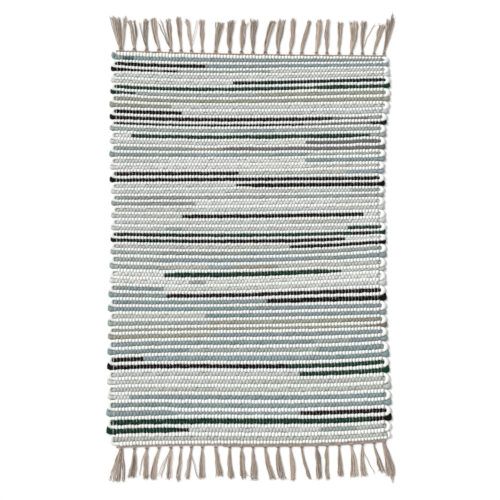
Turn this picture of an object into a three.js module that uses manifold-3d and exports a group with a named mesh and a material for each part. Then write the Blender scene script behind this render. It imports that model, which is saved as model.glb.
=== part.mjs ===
// A flat woven rag rug with a knotted fringe at both ends.
// Millimetres, +Z up, +Y towards the far end, the underside at z = 0.

import * as THREE from "three";
import Module from "manifold-3d";

const wasm = await Module();
wasm.setup();

// Woven field: picks of white cotton and of rag lie in turn across the warps.
const LAST_PICK = 116;
const CREST = 6.4;
const VALLEY = 4.7;
const END_RISE = 3.4;
const SELVEDGE_RISE = 3.0;
const SHOULDER = 7;
const TUCK = 1.6;
const TURN_NOTCH = 1.7;
const READ_AT = 281;

// Lie of the picks, read along the left, the middle and the right of the field, with both selvedges.
const ROWS = [
  { pick: -0.5, left: 424.5, middle: 417, right: 414, edgeLeft: -294, edgeRight: 293 },
  { pick: 1, left: 412.5, middle: 406, right: 407, edgeLeft: -297.5, edgeRight: 297 },
  { pick: 9, left: 362, middle: 358, right: 364.5, edgeLeft: -300.5, edgeRight: 299.5 },
  { pick: 17, left: 312, middle: 307, right: 310, edgeLeft: -300.5, edgeRight: 297 },
  { pick: 25, left: 261.5, middle: 256, right: 262, edgeLeft: -301.5, edgeRight: 291 },
  { pick: 33, left: 205.5, middle: 203.5, right: 208, edgeLeft: -302, edgeRight: 288.5 },
  { pick: 41, left: 151, middle: 153, right: 155.5, edgeLeft: -300.5, edgeRight: 287.5 },
  { pick: 49, left: 99, middle: 99.5, right: 105, edgeLeft: -298.5, edgeRight: 286.5 },
  { pick: 57, left: 46, middle: 45, right: 49.5, edgeLeft: -299.5, edgeRight: 291 },
  { pick: 65, left: -5.5, middle: -6.5, right: 3, edgeLeft: -300.5, edgeRight: 291 },
  { pick: 73, left: -66.5, middle: -66.5, right: -55.5, edgeLeft: -303, edgeRight: 289.5 },
  { pick: 81, left: -126.5, middle: -124.5, right: -118, edgeLeft: -304.5, edgeRight: 291 },
  { pick: 89, left: -185.5, middle: -181, right: -173.5, edgeLeft: -306, edgeRight: 293.5 },
  { pick: 97, left: -251.5, middle: -248.5, right: -239.5, edgeLeft: -307, edgeRight: 297 },
  { pick: 105, left: -317, middle: -316, right: -310, edgeLeft: -307, edgeRight: 301.5 },
  { pick: 113, left: -389, middle: -385.5, right: -377.5, edgeLeft: -308, edgeRight: 301.5 },
  { pick: 115, left: -406, middle: -404, right: -396, edgeLeft: -304, edgeRight: 301.5 },
  { pick: 116.5, left: -417, middle: -415.5, right: -408.5, edgeLeft: -293, edgeRight: 294 },
];

// Fringe: each tassel gathers warp ends in a knot on the heading strip.
const STRIP_GAP = 0.3;
const STRIP_DEPTH = 4.2;
const STRIP_RISE = 3.2;
const STRIP_BEVEL = 0.8;
const STRIP_FROM = -287;
const STRIP_TO = 290;
const STRIP_STEPS = 24;
const STRAND_ROOM = 0.36;
const STRAND_WIDEST = 2;
const STRAND_RISE = 2;
const STRAND_STATIONS = [0, 0.45, 1];
const TIP_TAPER = 0.75;
const TIP_UNEVEN = 2.6;
const ROOT_PITCH = 1.35;
const ROOT_DEPTH = 5;
const KNOT_TOP = 0.8;

// Knot sections outward from the strip: how much wider than the roots, and how high.
const KNOT = [
  { out: -0.6, wider: 4.5, rise: 2.6 },
  { out: 2.6, wider: 1.4, rise: 5 },
  { out: 7.2, wider: 0.7, rise: 2.6 },
];

// root: place on the strip. left, right: tips of the outer strands from the root. reach: length.
// bow, belly: how far the middle shifts and swells.
const TASSELS = [
  { root: -277.5, left: -23, right: 11, reach: 69, bow: 0, belly: 1, strands: 9 },
  { root: -249, left: -13, right: 2, reach: 62.5, bow: 2, belly: 0.5, strands: 5 },
  { root: -222.5, left: -6, right: 3, reach: 65.5, bow: -1.5, belly: 1, strands: 4 },
  { root: -196.5, left: -16.5, right: -6, reach: 68, bow: -2, belly: 1, strands: 5 },
  { root: -171, left: -10, right: -0.5, reach: 67.5, bow: 0, belly: 1, strands: 4 },
  { root: -149, left: -9, right: -0.5, reach: 72, bow: 0, belly: 0.3, strands: 4 },
  { root: -127, left: -11.5, right: -5, reach: 68, bow: 0, belly: 0, strands: 3 },
  { root: -103.5, left: -5.5, right: 4.5, reach: 67.5, bow: 0, belly: 0.8, strands: 5 },
  { root: -74.5, left: 4.5, right: 16, reach: 62.5, bow: 0, belly: 0, strands: 5 },
  { root: -45, left: -3, right: 10, reach: 68, bow: -1.5, belly: 0.8, strands: 5 },
  { root: -19.5, left: -1, right: 8, reach: 69.5, bow: -0.5, belly: 3.6, strands: 5 },
  { root: 5, left: -4.5, right: 10, reach: 71, bow: 0, belly: 1, strands: 6 },
  { root: 31.5, left: 10.5, right: 21, reach: 69, bow: -1.5, belly: 1.2, strands: 5 },
  { root: 59, left: 2.5, right: 15.5, reach: 70.5, bow: -2.5, belly: 2, strands: 6 },
  { root: 85, left: 2, right: 10, reach: 73, bow: 2.4, belly: 1.8, strands: 5 },
  { root: 109.5, left: 14, right: 19.5, reach: 69.5, bow: -1.5, belly: 0.3, strands: 3 },
  { root: 141, left: 1, right: 11, reach: 70.5, bow: 1.3, belly: 1.4, strands: 5 },
  { root: 163.5, left: 0, right: 5.5, reach: 72, bow: -1, belly: 1.6, strands: 4 },
  { root: 189.5, left: -2.5, right: 9, reach: 67.5, bow: 0, belly: 0.7, strands: 5 },
  { root: 216, left: -3.5, right: 15, reach: 69, bow: 2, belly: 1, strands: 7 },
  { root: 239.5, left: -1, right: 8.5, reach: 70.5, bow: -2, belly: 0.3, strands: 4 },
  { root: 264.5, left: 11, right: 18, reach: 63, bow: 0, belly: 0.5, strands: 4 },
  { root: 286, left: 0, right: 23, reach: 75, bow: 1, belly: 0.6, strands: 8 },
];

// Lone strands that lean out of the tassel with the same root.
const STRAYS = [
  { root: -222.5, tip: -14.5, reach: 59 },
  { root: -171, tip: -26, reach: 60 },
  { root: -171, tip: -20.5, reach: 65 },
  { root: -127, tip: 13, reach: 67 },
  { root: -74.5, tip: 1, reach: 64.5 },
  { root: -19.5, tip: 12.5, reach: 63 },
  { root: 239.5, tip: 25.5, reach: 63 },
  { root: 286, tip: 18, reach: 88 },
];

/** Straight interpolation of one column of a table ordered by its key. */
function lookUp(table, key, column, at) {
  const next = table.findIndex((row) => row[key] >= at);
  if (next === 0) {
    return table[0][column];
  }
  if (next < 0) {
    return table[table.length - 1][column];
  }
  const [a, b] = [table[next - 1], table[next]];
  return THREE.MathUtils.mapLinear(at, a[key], b[key], a[column], b[column]);
}

/** A closed solid through sections of equal point counts, its ends filled from side to side. */
function loft(sections) {
  const count = sections[0].length;
  const index = [];
  for (let s = 0; s + 1 < sections.length; s += 1) {
    for (let i = 0; i < count; i += 1) {
      const a = s * count + i;
      const b = s * count + ((i + 1) % count);
      index.push(a, b, b + count, a, b + count, a + count);
    }
  }
  const end = (sections.length - 1) * count;
  let [low, high] = [0, count - 1];
  for (let step = 0; step + 2 < count; step += 1) {
    const inner = step % 2 === 0 ? low + 1 : high - 1;
    index.push(high, inner, low);
    index.push(end + low, end + inner, end + high);
    [low, high] = step % 2 === 0 ? [inner, high] : [low, inner];
  }
  const geometry = new THREE.BufferGeometry().setFromPoints(sections.flat());
  return geometry.setIndex(index);
}

/** The same solid in the joining tool's form, turned inside out again where a mirror turned it. */
function toSolid(geometry) {
  const vertices = new Float32Array(geometry.attributes.position.array);
  const solid = (corners) =>
    new wasm.Manifold(new wasm.Mesh({ numProp: 3, vertProperties: vertices, triVerts: corners }));
  const corners = new Uint32Array(geometry.index.array);
  const made = solid(corners);
  return made.volume() > 0 ? made : solid(corners.reverse());
}

/** Joins overlapping geometries into one. */
function join(geometries) {
  const mesh = wasm.Manifold.union(geometries.map(toSolid)).getMesh();
  return new THREE.BufferGeometry()
    .setAttribute("position", new THREE.BufferAttribute(mesh.vertProperties, 3))
    .setIndex(new THREE.BufferAttribute(mesh.triVerts, 1));
}

/** Where a pick lies along Y at a place across the field. */
function pickY(pick, x) {
  const [left, middle, right] = ["left", "middle", "right"].map((c) => lookUp(ROWS, "pick", c, pick));
  const u = x / READ_AT;
  return middle + ((right - left) / 2) * u + ((right + left) / 2 - middle) * u * u;
}

/** Height of the cloth at a pick: ribs on whole numbers, hollows between them, low at the ends. */
function ribHeight(pick) {
  if (pick < 0 || pick > LAST_PICK) {
    return END_RISE;
  }
  return Number.isInteger(pick) ? CREST : VALLEY;
}

/** Both selvedges at a pick, drawn in between one turn of the weft and the next. */
function selvedges(pick) {
  const fromTurn = Math.abs(((pick + 1) % 2) - 1);
  const notch = TURN_NOTCH * (pick < 0 || pick > LAST_PICK ? 0 : 1 - fromTurn);
  const left = lookUp(ROWS, "pick", "edgeLeft", pick) + notch;
  const right = lookUp(ROWS, "pick", "edgeRight", pick) - notch;
  return { left, right };
}

/** One section across the field: left selvedge, underside, right selvedge and back over the top. */
function fieldSection(pick) {
  const { left, right } = selvedges(pick);
  const rise = ribHeight(pick);
  const at = (x, z) => new THREE.Vector3(x, pickY(pick, x), z);
  const under = [left + TUCK, 0, right - TUCK];
  const top = [right - SHOULDER, 0, left + SHOULDER];
  return [
    at(left, SELVEDGE_RISE),
    ...under.map((x) => at(x, 0)),
    at(right, SELVEDGE_RISE),
    ...top.map((x) => at(x, rise)),
  ];
}

/** The woven field: a flat cloth with a rib for each pick. */
function wovenField() {
  const sections = [];
  for (let pick = -0.5; pick <= LAST_PICK + 0.5; pick += 0.5) {
    sections.push(fieldSection(pick));
  }
  return loft(sections);
}

/** Distance of an end of the field from the middle of the rug, at a place across it. */
function endLine(side, x) {
  const pick = side > 0 ? -0.5 : LAST_PICK + 0.5;
  const { left, right } = selvedges(pick);
  const line = [left, 0, right].map((c) => ({ x: c, y: side * pickY(pick, c) }));
  return lookUp(line, "x", "y", x);
}

/** Distance of the strip's outer edge from the middle of the rug. */
function stripEdge(side, x) {
  return endLine(side, x) + STRIP_GAP + STRIP_DEPTH;
}

/** The heading strip that lies along the end of the field. */
function headingStrip(side) {
  const sections = [];
  for (let i = 0; i <= STRIP_STEPS; i += 1) {
    const x = THREE.MathUtils.lerp(STRIP_FROM, STRIP_TO, i / STRIP_STEPS);
    const inner = endLine(side, x) + STRIP_GAP;
    const outer = stripEdge(side, x);
    sections.push([
      new THREE.Vector3(x, side * inner, 0),
      new THREE.Vector3(x, side * outer, 0),
      new THREE.Vector3(x, side * outer, STRIP_RISE - STRIP_BEVEL),
      new THREE.Vector3(x, side * inner, STRIP_RISE),
    ]);
  }
  return loft(sections);
}

/** All strands of a tassel from left to right, each with the tip's place and its length. */
function strandsOf(tassel) {
  const spread = (i) => THREE.MathUtils.lerp(tassel.left, tassel.right, (i + 0.5) / tassel.strands);
  const strands = Array.from({ length: tassel.strands }, (_, i) => ({
    tip: spread(i),
    reach: tassel.reach - TIP_UNEVEN * (0.5 + 0.5 * Math.sin(2.4 * i + tassel.root)),
    swell: tassel.belly * ((2 * i + 1) / tassel.strands - 1),
    pitch: (tassel.right - tassel.left) / tassel.strands,
  }));
  const strays = straysOf(tassel).map((s) => ({ ...s, swell: 0, pitch: STRAND_WIDEST + STRAND_ROOM }));
  return [...strands, ...strays].sort((a, b) => a.tip - b.tip);
}

/** The lone strands of a tassel. */
function straysOf(tassel) {
  return STRAYS.filter((stray) => stray.root === tassel.root);
}

/** Width across the roots of a tassel. */
function rootWidth(tassel) {
  return ROOT_PITCH * (tassel.strands + straysOf(tassel).length);
}

/** One strand that rests on the floor, three-sided, from inside its knot to its tip. */
function strand(side, tassel, lock, place) {
  const start = stripEdge(side, tassel.root) + ROOT_DEPTH;
  const root = (place - 0.5) * rootWidth(tassel);
  const bend = 2 * (tassel.bow + lock.swell);
  const sections = STRAND_STATIONS.map((t) => {
    const x = tassel.root + root + (lock.tip - root) * t + 2 * bend * t * (1 - t);
    const y = side * (start + (lock.reach - ROOT_DEPTH) * t);
    const pitch = THREE.MathUtils.lerp(ROOT_PITCH, lock.pitch, Math.min(1, 1.6 * t));
    const taper = t < 1 ? 1 : TIP_TAPER;
    const half = (taper * Math.min(pitch - STRAND_ROOM, STRAND_WIDEST)) / 2;
    return [
      new THREE.Vector3(x - half, y, 0),
      new THREE.Vector3(x, y, taper * STRAND_RISE),
      new THREE.Vector3(x + half, y, 0),
    ];
  });
  return loft(sections);
}

/** The gathered root and knot of a tassel. */
function knot(side, tassel) {
  const sections = KNOT.map(({ out, wider, rise }) => {
    const half = rootWidth(tassel) / 2 + wider;
    const y = side * (stripEdge(side, tassel.root) + out);
    return [
      new THREE.Vector3(tassel.root - half, y, 0),
      new THREE.Vector3(tassel.root - KNOT_TOP * half, y, rise),
      new THREE.Vector3(tassel.root + KNOT_TOP * half, y, rise),
      new THREE.Vector3(tassel.root + half, y, 0),
    ];
  });
  return loft(sections);
}

/** The whole fringe of one end: strip, knots and strands. */
function fringe(side) {
  const pieces = [headingStrip(side)];
  for (const tassel of TASSELS) {
    pieces.push(knot(side, tassel));
    const locks = strandsOf(tassel);
    locks.forEach((lock, i) => pieces.push(strand(side, tassel, lock, (i + 0.5) / locks.length)));
  }
  return join(pieces);
}

const ragCloth = new THREE.MeshStandardMaterial({ color: 0x9a9d99, roughness: 0.95, metalness: 0 });
const warpYarn = new THREE.MeshStandardMaterial({ color: 0xb9a797, roughness: 0.95, metalness: 0 });

const rug = new THREE.Group();
for (const [name, geometry, material] of [
  ["woven_field", wovenField(), ragCloth],
  ["fringe_far", fringe(1), warpYarn],
  ["fringe_near", fringe(-1), warpYarn],
]) {
  const mesh = new THREE.Mesh(geometry, material);
  mesh.name = name;
  rug.add(mesh);
}

const middle = new THREE.Box3().setFromObject(rug).getCenter(new THREE.Vector3());
for (const mesh of rug.children) {
  mesh.geometry.translate(-middle.x, -middle.y, 0);
}

export default rug;
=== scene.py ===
"""A flat rag rug: white cotton and torn rags woven in turn on beige warps, with knotted fringes.

Metres, +Z up, +Y towards the far end. The tables are in millimetres from the rug's own middle.
"""

from __future__ import annotations

import logging
from collections.abc import Sequence
from dataclasses import dataclass, field, fields, replace
from enum import Enum

import bpy
import numpy as np
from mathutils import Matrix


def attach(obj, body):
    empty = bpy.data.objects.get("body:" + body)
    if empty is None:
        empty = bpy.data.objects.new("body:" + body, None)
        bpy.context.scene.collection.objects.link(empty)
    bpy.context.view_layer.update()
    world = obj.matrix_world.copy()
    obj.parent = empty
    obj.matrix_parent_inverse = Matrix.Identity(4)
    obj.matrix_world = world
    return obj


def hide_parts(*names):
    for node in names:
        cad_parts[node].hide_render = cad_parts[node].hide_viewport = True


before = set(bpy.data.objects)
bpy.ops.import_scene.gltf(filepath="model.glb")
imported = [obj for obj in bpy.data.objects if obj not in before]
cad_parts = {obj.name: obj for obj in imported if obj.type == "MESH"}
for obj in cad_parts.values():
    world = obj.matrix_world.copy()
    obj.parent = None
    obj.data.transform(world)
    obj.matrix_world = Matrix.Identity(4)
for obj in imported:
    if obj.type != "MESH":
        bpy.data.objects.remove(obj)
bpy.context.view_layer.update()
LOG = logging.getLogger("rug")
MM = 0.001
# From the tables' own middle to the middle of the solids' box.
TABLE_SHIFT = np.array([-0.18, -2.90])
BAKE_MAP = "OFBake"
LAY = "lay"
RAG_COLOUR = "rag_colour"
MIDDLE_TONE = 0.5


class Cloth(Enum):
    """The rags torn up for the weft, each with its colour as seen: red, green and blue to 255."""

    BLACK = (13, 11, 12)
    PLUM = (25, 16, 21)
    CHARCOAL = (106, 106, 105)
    GREEN = (13, 55, 38)
    FOREST = (11, 35, 27)
    DEEP = (50, 88, 96)
    SLATE = (136, 152, 155)
    TEAL = (132, 152, 153)
    STEEL = (148, 165, 170)
    MOSS = (145, 154, 149)
    SAGE = (157, 168, 163)
    KHAKI = (155, 157, 143)
    OLIVE = (146, 147, 134)
    UMBER = (120, 113, 98)
    TAUPE = (188, 190, 184)
    GREY = (198, 200, 196)
    MIST = (194, 201, 198)
    LILAC = (204, 206, 204)
    CREAM = (217, 218, 214)

    def linear(self) -> np.ndarray:
        """The colour as the shader takes it."""
        return seen_to_linear(self.value)


class Weft(Enum):
    """The two wefts that lie in turn: the value is the first pick of each."""

    COTTON = 0
    RAG = 1


class End(Enum):
    """The two ends of the rug: the value is the way along Y."""

    FAR = 1
    NEAR = -1


@dataclass(frozen=True)
class RowRead:
    """One pick: where it lies along Y at five places from left to right, and both selvedges."""

    pick: float
    left: float
    mid_left: float
    middle: float
    mid_right: float
    right: float
    edge_left: float
    edge_right: float


@dataclass(frozen=True)
class Tassel:
    """One tassel: its root, the lean of its outer tips, its length, its bend and its swell."""

    root: float
    left: float
    right: float
    reach: float
    bow: float
    belly: float


@dataclass(frozen=True)
class Stray:
    """A lone yarn that leans out of the tassel with the same root."""

    root: float
    tip: float
    reach: float


# Worked out outside this script, from readings of the photo at three places across the rug and
# from offsets measured between the photo and a render.
ROWS: tuple[RowRead, ...] = (
    RowRead(-0.5, 424.5, 420, 417, 415, 414, -294, 293),
    RowRead(1, 411.5, 407, 405, 406, 407, -297.5, 297),
    RowRead(9, 362, 356.5, 358, 360.5, 364.5, -300.5, 299.5),
    RowRead(13, 338, 331, 331.5, 334, 337, -300.5, 298.5),
    RowRead(17, 310, 306, 305, 307, 309, -300.5, 297),
    RowRead(25, 259.5, 255, 255, 257, 260, -301.5, 291),
    RowRead(33, 204, 202.5, 204, 204.5, 208, -302, 288.5),
    RowRead(41, 149.5, 149, 153, 151, 154, -300.5, 287.5),
    RowRead(49, 99, 99, 100.5, 102.5, 105.5, -298.5, 286.5),
    RowRead(57, 46, 44, 45, 46, 49.5, -299.5, 291),
    RowRead(65, -4.5, -7.5, -7, -4, 5.5, -300.5, 291),
    RowRead(73, -66.5, -69.5, -67.5, -61, -54.5, -303, 289.5),
    RowRead(81, -126.5, -127.5, -124, -123, -119, -304.5, 291),
    RowRead(89, -186.5, -183.5, -181, -179.5, -174, -306, 293.5),
    RowRead(97, -251.5, -249, -249, -248, -239.5, -307, 297),
    RowRead(105, -315.5, -315, -315.5, -315.5, -310.5, -307, 301.5),
    RowRead(113, -388.5, -385.5, -385.5, -384.5, -377, -308, 301.5),
    RowRead(115, -405.5, -403.5, -404, -403, -395.5, -304, 301.5),
    RowRead(116.5, -420.5, -415, -415.5, -413, -405, -293, 300),
)

TASSELS: tuple[Tassel, ...] = (
    Tassel(-277.5, -23, 11, 69, 0, 1),
    Tassel(-249, -13, 2, 62.5, 2, 0.5),
    Tassel(-222.5, -6, 3, 65.5, -1.5, 1),
    Tassel(-196.5, -16.5, -6, 68, -2, 1),
    Tassel(-171, -10, -0.5, 67.5, 0, 1),
    Tassel(-149, -9, -0.5, 72, 0, 0.3),
    Tassel(-127, -11.5, -5, 68, 0, 0),
    Tassel(-103.5, -5.5, 4.5, 67.5, 0, 0.8),
    Tassel(-74.5, 4.5, 16, 62.5, 0, 0),
    Tassel(-45, -3, 10, 68, -1.5, 0.8),
    Tassel(-19.5, -1, 8, 69.5, -0.5, 3.6),
    Tassel(5, -4.5, 10, 71, 0, 1),
    Tassel(31.5, 10.5, 21, 69, -1.5, 1.2),
    Tassel(59, 2.5, 15.5, 70.5, -2.5, 2),
    Tassel(85, 2, 10, 73, 2.4, 1.8),
    Tassel(109.5, 14, 19.5, 69.5, -1.5, 0.3),
    Tassel(141, 1, 11, 70.5, 1.3, 1.4),
    Tassel(163.5, 0, 5.5, 72, -1, 1.6),
    Tassel(189.5, -2.5, 9, 67.5, 0, 0.7),
    Tassel(216, -3.5, 15, 69, 2, 1),
    Tassel(239.5, -1, 8.5, 70.5, -2, 0.3),
    Tassel(264.5, 9, 24, 63, 0, 0.5),
    Tassel(286, 3, 23, 74, 1, 0.6),
)

STRAYS: tuple[Stray, ...] = (
    Stray(-222.5, -14.5, 59),
    Stray(-171, -26, 60),
    Stray(-171, -20.5, 65),
    Stray(-127, 13, 67),
    Stray(-74.5, 1, 64.5),
    Stray(-19.5, 12.5, 63),
    Stray(239.5, 25.5, 63),
    Stray(286, 18, 88),
    Stray(286, 19.5, 84),
    Stray(286, 16.5, 83),
    Stray(286, 21, 79),
)

# The rag picks from the far end: each rag from the left, with the hundredth of the width where it
# gives out. A minus after the cloth is a thin strip, a plus a full one.
RAG_PICKS: tuple[str, ...] = (
    "teal 4 deep 8 teal 30 slate 93 steel 100",
    "black 34 slate 63 teal 84 slate 100",
    "black 5 black- 15 charcoal- 19 black- 24 moss- 57 lilac 84 grey 100",
    "grey 54 lilac 63 grey 100",
    "grey 44 forest 100",
    "green 38 green- 41 green 68 green- 74 green+ 85 green 100",
    "green 4 green- 9 sage 52 khaki 100",
    "khaki 100",
    "khaki 22 lilac 100",
    "black 26 grey 79 mist 100",
    "plum 80 charcoal- 93 sage 100",
    "forest- 70 charcoal- 94 forest 100",
    "sage 45 slate 60 sage 100",
    "cream 8 green 53 green+ 65 green 72 green+ 90 green- 94 sage 100",
    "lilac 40 cream 71 charcoal 100",
    "moss 29 olive- 41 charcoal 100",
    "slate 32 steel 41 slate 72 sage- 100",
    "grey 18 cream 71 slate 100",
    "cream 73 taupe- 100",
    "plum 47 taupe 86 steel 100",
    "black 100",
    "mist 46 black- 50 black+ 100",
    "grey 47 taupe 72 mist 88 sage 100",
    "moss 29 sage 86 moss 100",
    "moss 31 cream 80 grey 100",
    "taupe 31 mist 79 grey 100",
    "taupe 26 black 92 cream 100",
    "mist 13 grey 36 mist 65 taupe 86 lilac 100",
    "mist 20 steel 26 mist 56 grey 86 green 100",
    "forest 34 green 88 plum 94 green 100",
    "forest 28 black 85 cream- 100",
    "taupe 65 black- 67 black 100",
    "sage 19 moss 50 slate 65 sage 100",
    "sage 18 slate 76 sage 81 slate 100",
    "sage 20 taupe 36 steel 45 khaki 61 taupe 100",
    "cream 20 green- 22 green+ 79 green- 84 taupe- 100",
    "cream 29 sage 35 cream 100",
    "moss 6 slate 20 grey 100",
    "slate 13 teal 21 plum 100",
    "slate 13 teal 32 slate 57 black+ 100",
    "slate 18 teal 52 slate 100",
    "taupe 35 teal 52 slate 100",
    "sage 36 khaki 84 olive 100",
    "olive- 92 umber- 100",
    "khaki 37 slate 100",
    "slate 32 teal 74 sage 86 slate 100",
    "slate 14 teal 29 sage 75 teal+ 100",
    "plum 13 steel+ 75 teal 100",
    "black 64 green 100",
    "grey 68 green 100",
    "lilac 6 grey 50 taupe 100",
    "taupe 38 grey 72 taupe 100",
    "lilac 8 slate 29 teal 100",
    "teal 29 slate 100",
    "slate+ 23 slate- 68 plum 100",
    "green+ 93 black 100",
    "green+ 24 forest- 29 lilac 75 sage 88 taupe 100",
    "taupe 100",
)


def seen_to_linear(seen: Sequence[float]) -> np.ndarray:
    """Turns a colour as seen, to 255, into the shader's linear values.

    Args:
        seen: red, green and blue.

    Returns:
        Three linear values.
    """
    part = np.asarray(seen, float) / 255
    return np.where(part <= 0.04045, part / 12.92, ((part + 0.055) / 1.055) ** 2.4)


def table_column(rows: Sequence[object], name: str) -> np.ndarray:
    """One named column of a table of dataclasses."""
    return np.array([getattr(row, name) for row in rows], float)


class Lie:
    """How the picks and selvedges lie, from ROWS in millimetres."""

    read_at: tuple[float, ...] = (-281.0, -140.0, 0.0, 140.0, 281.0)
    bends: int = 3

    def __init__(self) -> None:
        """Takes the columns of the table."""
        self.pick = table_column(ROWS, "pick")
        self.edge = {-1: table_column(ROWS, "edge_left"), 1: table_column(ROWS, "edge_right")}
        places = ("left", "mid_left", "middle", "mid_right", "right")
        read = np.array([table_column(ROWS, name) for name in places])
        self.span = self.read_at[-1]
        at = np.array(self.read_at) / self.span
        self.bend = np.polynomial.polynomial.polyfit(at, read, self.bends)

    def edges(self, pick: float) -> tuple[float, float]:
        """Left and right selvedge at a pick."""
        left, right = (float(np.interp(pick, self.pick, self.edge[side])) for side in (-1, 1))
        return left, right

    def row_y(self, row: int, x: np.ndarray) -> np.ndarray:
        """Where a read row lies along Y.

        Args:
            row: place in the table.
            x: places across the rug.

        Returns:
            Y at each place.
        """
        return np.polynomial.polynomial.polyval(x / self.span, self.bend[:, row])

    def end_y(self, end: End, x: np.ndarray) -> np.ndarray:
        """The line where the field ends, as a distance from the middle of the rug.

        Args:
            end: which end.
            x: places across the rug.

        Returns:
            Distance at each place.
        """
        return end.value * self.row_y(0 if end is End.FAR else len(ROWS) - 1, x)


def to_world(points: np.ndarray) -> np.ndarray:
    """Moves points from the tables' millimetres to the frame's metres."""
    moved = np.array(points, float)
    moved[..., :2] += TABLE_SHIFT
    return moved * MM


def mesh_from_arrays(
    name: str, points: np.ndarray, faces: np.ndarray, caps: Sequence[Sequence[int]]
) -> bpy.types.Mesh:
    """Makes a smooth mesh from arrays.

    Args:
        name: name of the mesh.
        points: vertices, in metres.
        faces: corners of the four-sided faces.
        caps: corners of any other faces.

    Returns:
        The mesh.
    """
    mesh = bpy.data.meshes.new(name)
    sizes = np.concatenate([np.full(len(faces), 4), [len(cap) for cap in caps]]).astype(np.int32)
    corners = np.concatenate([faces.ravel(), *[np.asarray(cap) for cap in caps]]).astype(np.int32)
    mesh.vertices.add(len(points))
    mesh.loops.add(len(corners))
    mesh.polygons.add(len(sizes))
    mesh.vertices.foreach_set("co", points.astype(np.float32).ravel())
    mesh.loops.foreach_set("vertex_index", corners)
    starts = np.concatenate([[0], np.cumsum(sizes)[:-1]]).astype(np.int32)
    mesh.polygons.foreach_set("loop_start", starts)
    mesh.polygons.foreach_set("use_smooth", np.ones(len(sizes), bool))
    mesh.update(calc_edges=True)
    mesh.validate()
    return mesh


def store(mesh: bpy.types.Mesh, name: str, kind: str, values: np.ndarray) -> None:
    """Stores a value on every point of a mesh.

    Args:
        mesh: the mesh.
        name: name of the attribute.
        kind: FLOAT, FLOAT_VECTOR or FLOAT_COLOR.
        values: the values, point by point.
    """
    part = {"FLOAT": "value", "FLOAT_VECTOR": "vector", "FLOAT_COLOR": "color"}[kind]
    made = mesh.attributes.new(name, kind, "POINT")
    made.data.foreach_set(part, values.astype(np.float32).ravel())


def add_piece(name: str, mesh: bpy.types.Mesh, material: bpy.types.Material) -> bpy.types.Object:
    """Puts a mesh into the scene as a piece.

    Args:
        name: the piece's name.
        mesh: its mesh, in metres.
        material: its finish.

    Returns:
        The object, at the origin.
    """
    piece = bpy.data.objects.new(name, mesh)
    mesh.materials.clear()
    mesh.materials.append(material)
    bpy.context.scene.collection.objects.link(piece)
    return piece


class NodeSheet:
    """A node tree that is being drawn: adds nodes, links what they read and makes named inputs."""

    def __init__(self, tree: bpy.types.NodeTree) -> None:
        """Takes an empty tree or the tree of a material."""
        self.tree = tree

    def add(
        self, kind: str, inputs: dict[str | int, object] | None = None, **settings: object
    ) -> bpy.types.Node:
        """Adds one node.

        Args:
            kind: the node's type.
            inputs: what each input reads: another node's output, or a value.
            settings: the node's own options.

        Returns:
            The node.
        """
        node = self.tree.nodes.new(kind)
        for name, value in settings.items():
            setattr(node, name, value)
        for key, value in (inputs or {}).items():
            socket = node.inputs[key]
            if isinstance(value, bpy.types.NodeSocket):
                self.tree.links.new(value, socket)
            else:
                socket.default_value = value
        return node

    def step(
        self, kind: str, inputs: dict[str | int, object] | None = None, **settings: object
    ) -> bpy.types.NodeSocket:
        """Adds a geometry node, named without its prefix, and gives its first output."""
        return self.add(f"GeometryNode{kind}", inputs, **settings).outputs[0]

    def keep(
        self, geometry: object, name: str, value: object, kind: str = "FLOAT"
    ) -> bpy.types.NodeSocket:
        """Adds a geometry node that stores a named value on each point."""
        kept = {"Geometry": geometry, "Name": name, "Value": value}
        return self.step("StoreNamedAttribute", kept, data_type=kind, domain="POINT")

    def attribute(self, name: str) -> bpy.types.NodeOutputs:
        """Adds a shader node that reads a stored attribute, and gives its outputs."""
        settings = {"attribute_name": name, "attribute_type": "GEOMETRY"}
        return self.add("ShaderNodeAttribute", **settings).outputs

    def math(self, operation: str, first: object, second: object = 0.0) -> bpy.types.NodeSocket:
        """One step of arithmetic on two values or outputs."""
        return self.add("ShaderNodeMath", {0: first, 1: second}, operation=operation).outputs[0]

    def socket(self, name: str, kind: str, way: str = "INPUT", start: object | None = None) -> str:
        """Makes a named input or output of the tree.

        Args:
            name: its name.
            kind: float, colour, vector, geometry or material, as Blender names the socket.
            way: INPUT or OUTPUT.
            start: its first value.

        Returns:
            The socket's identifier.
        """
        made = self.tree.interface.new_socket(name, in_out=way, socket_type=kind)
        if start is not None:
            made.default_value = start
        return made.identifier


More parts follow.
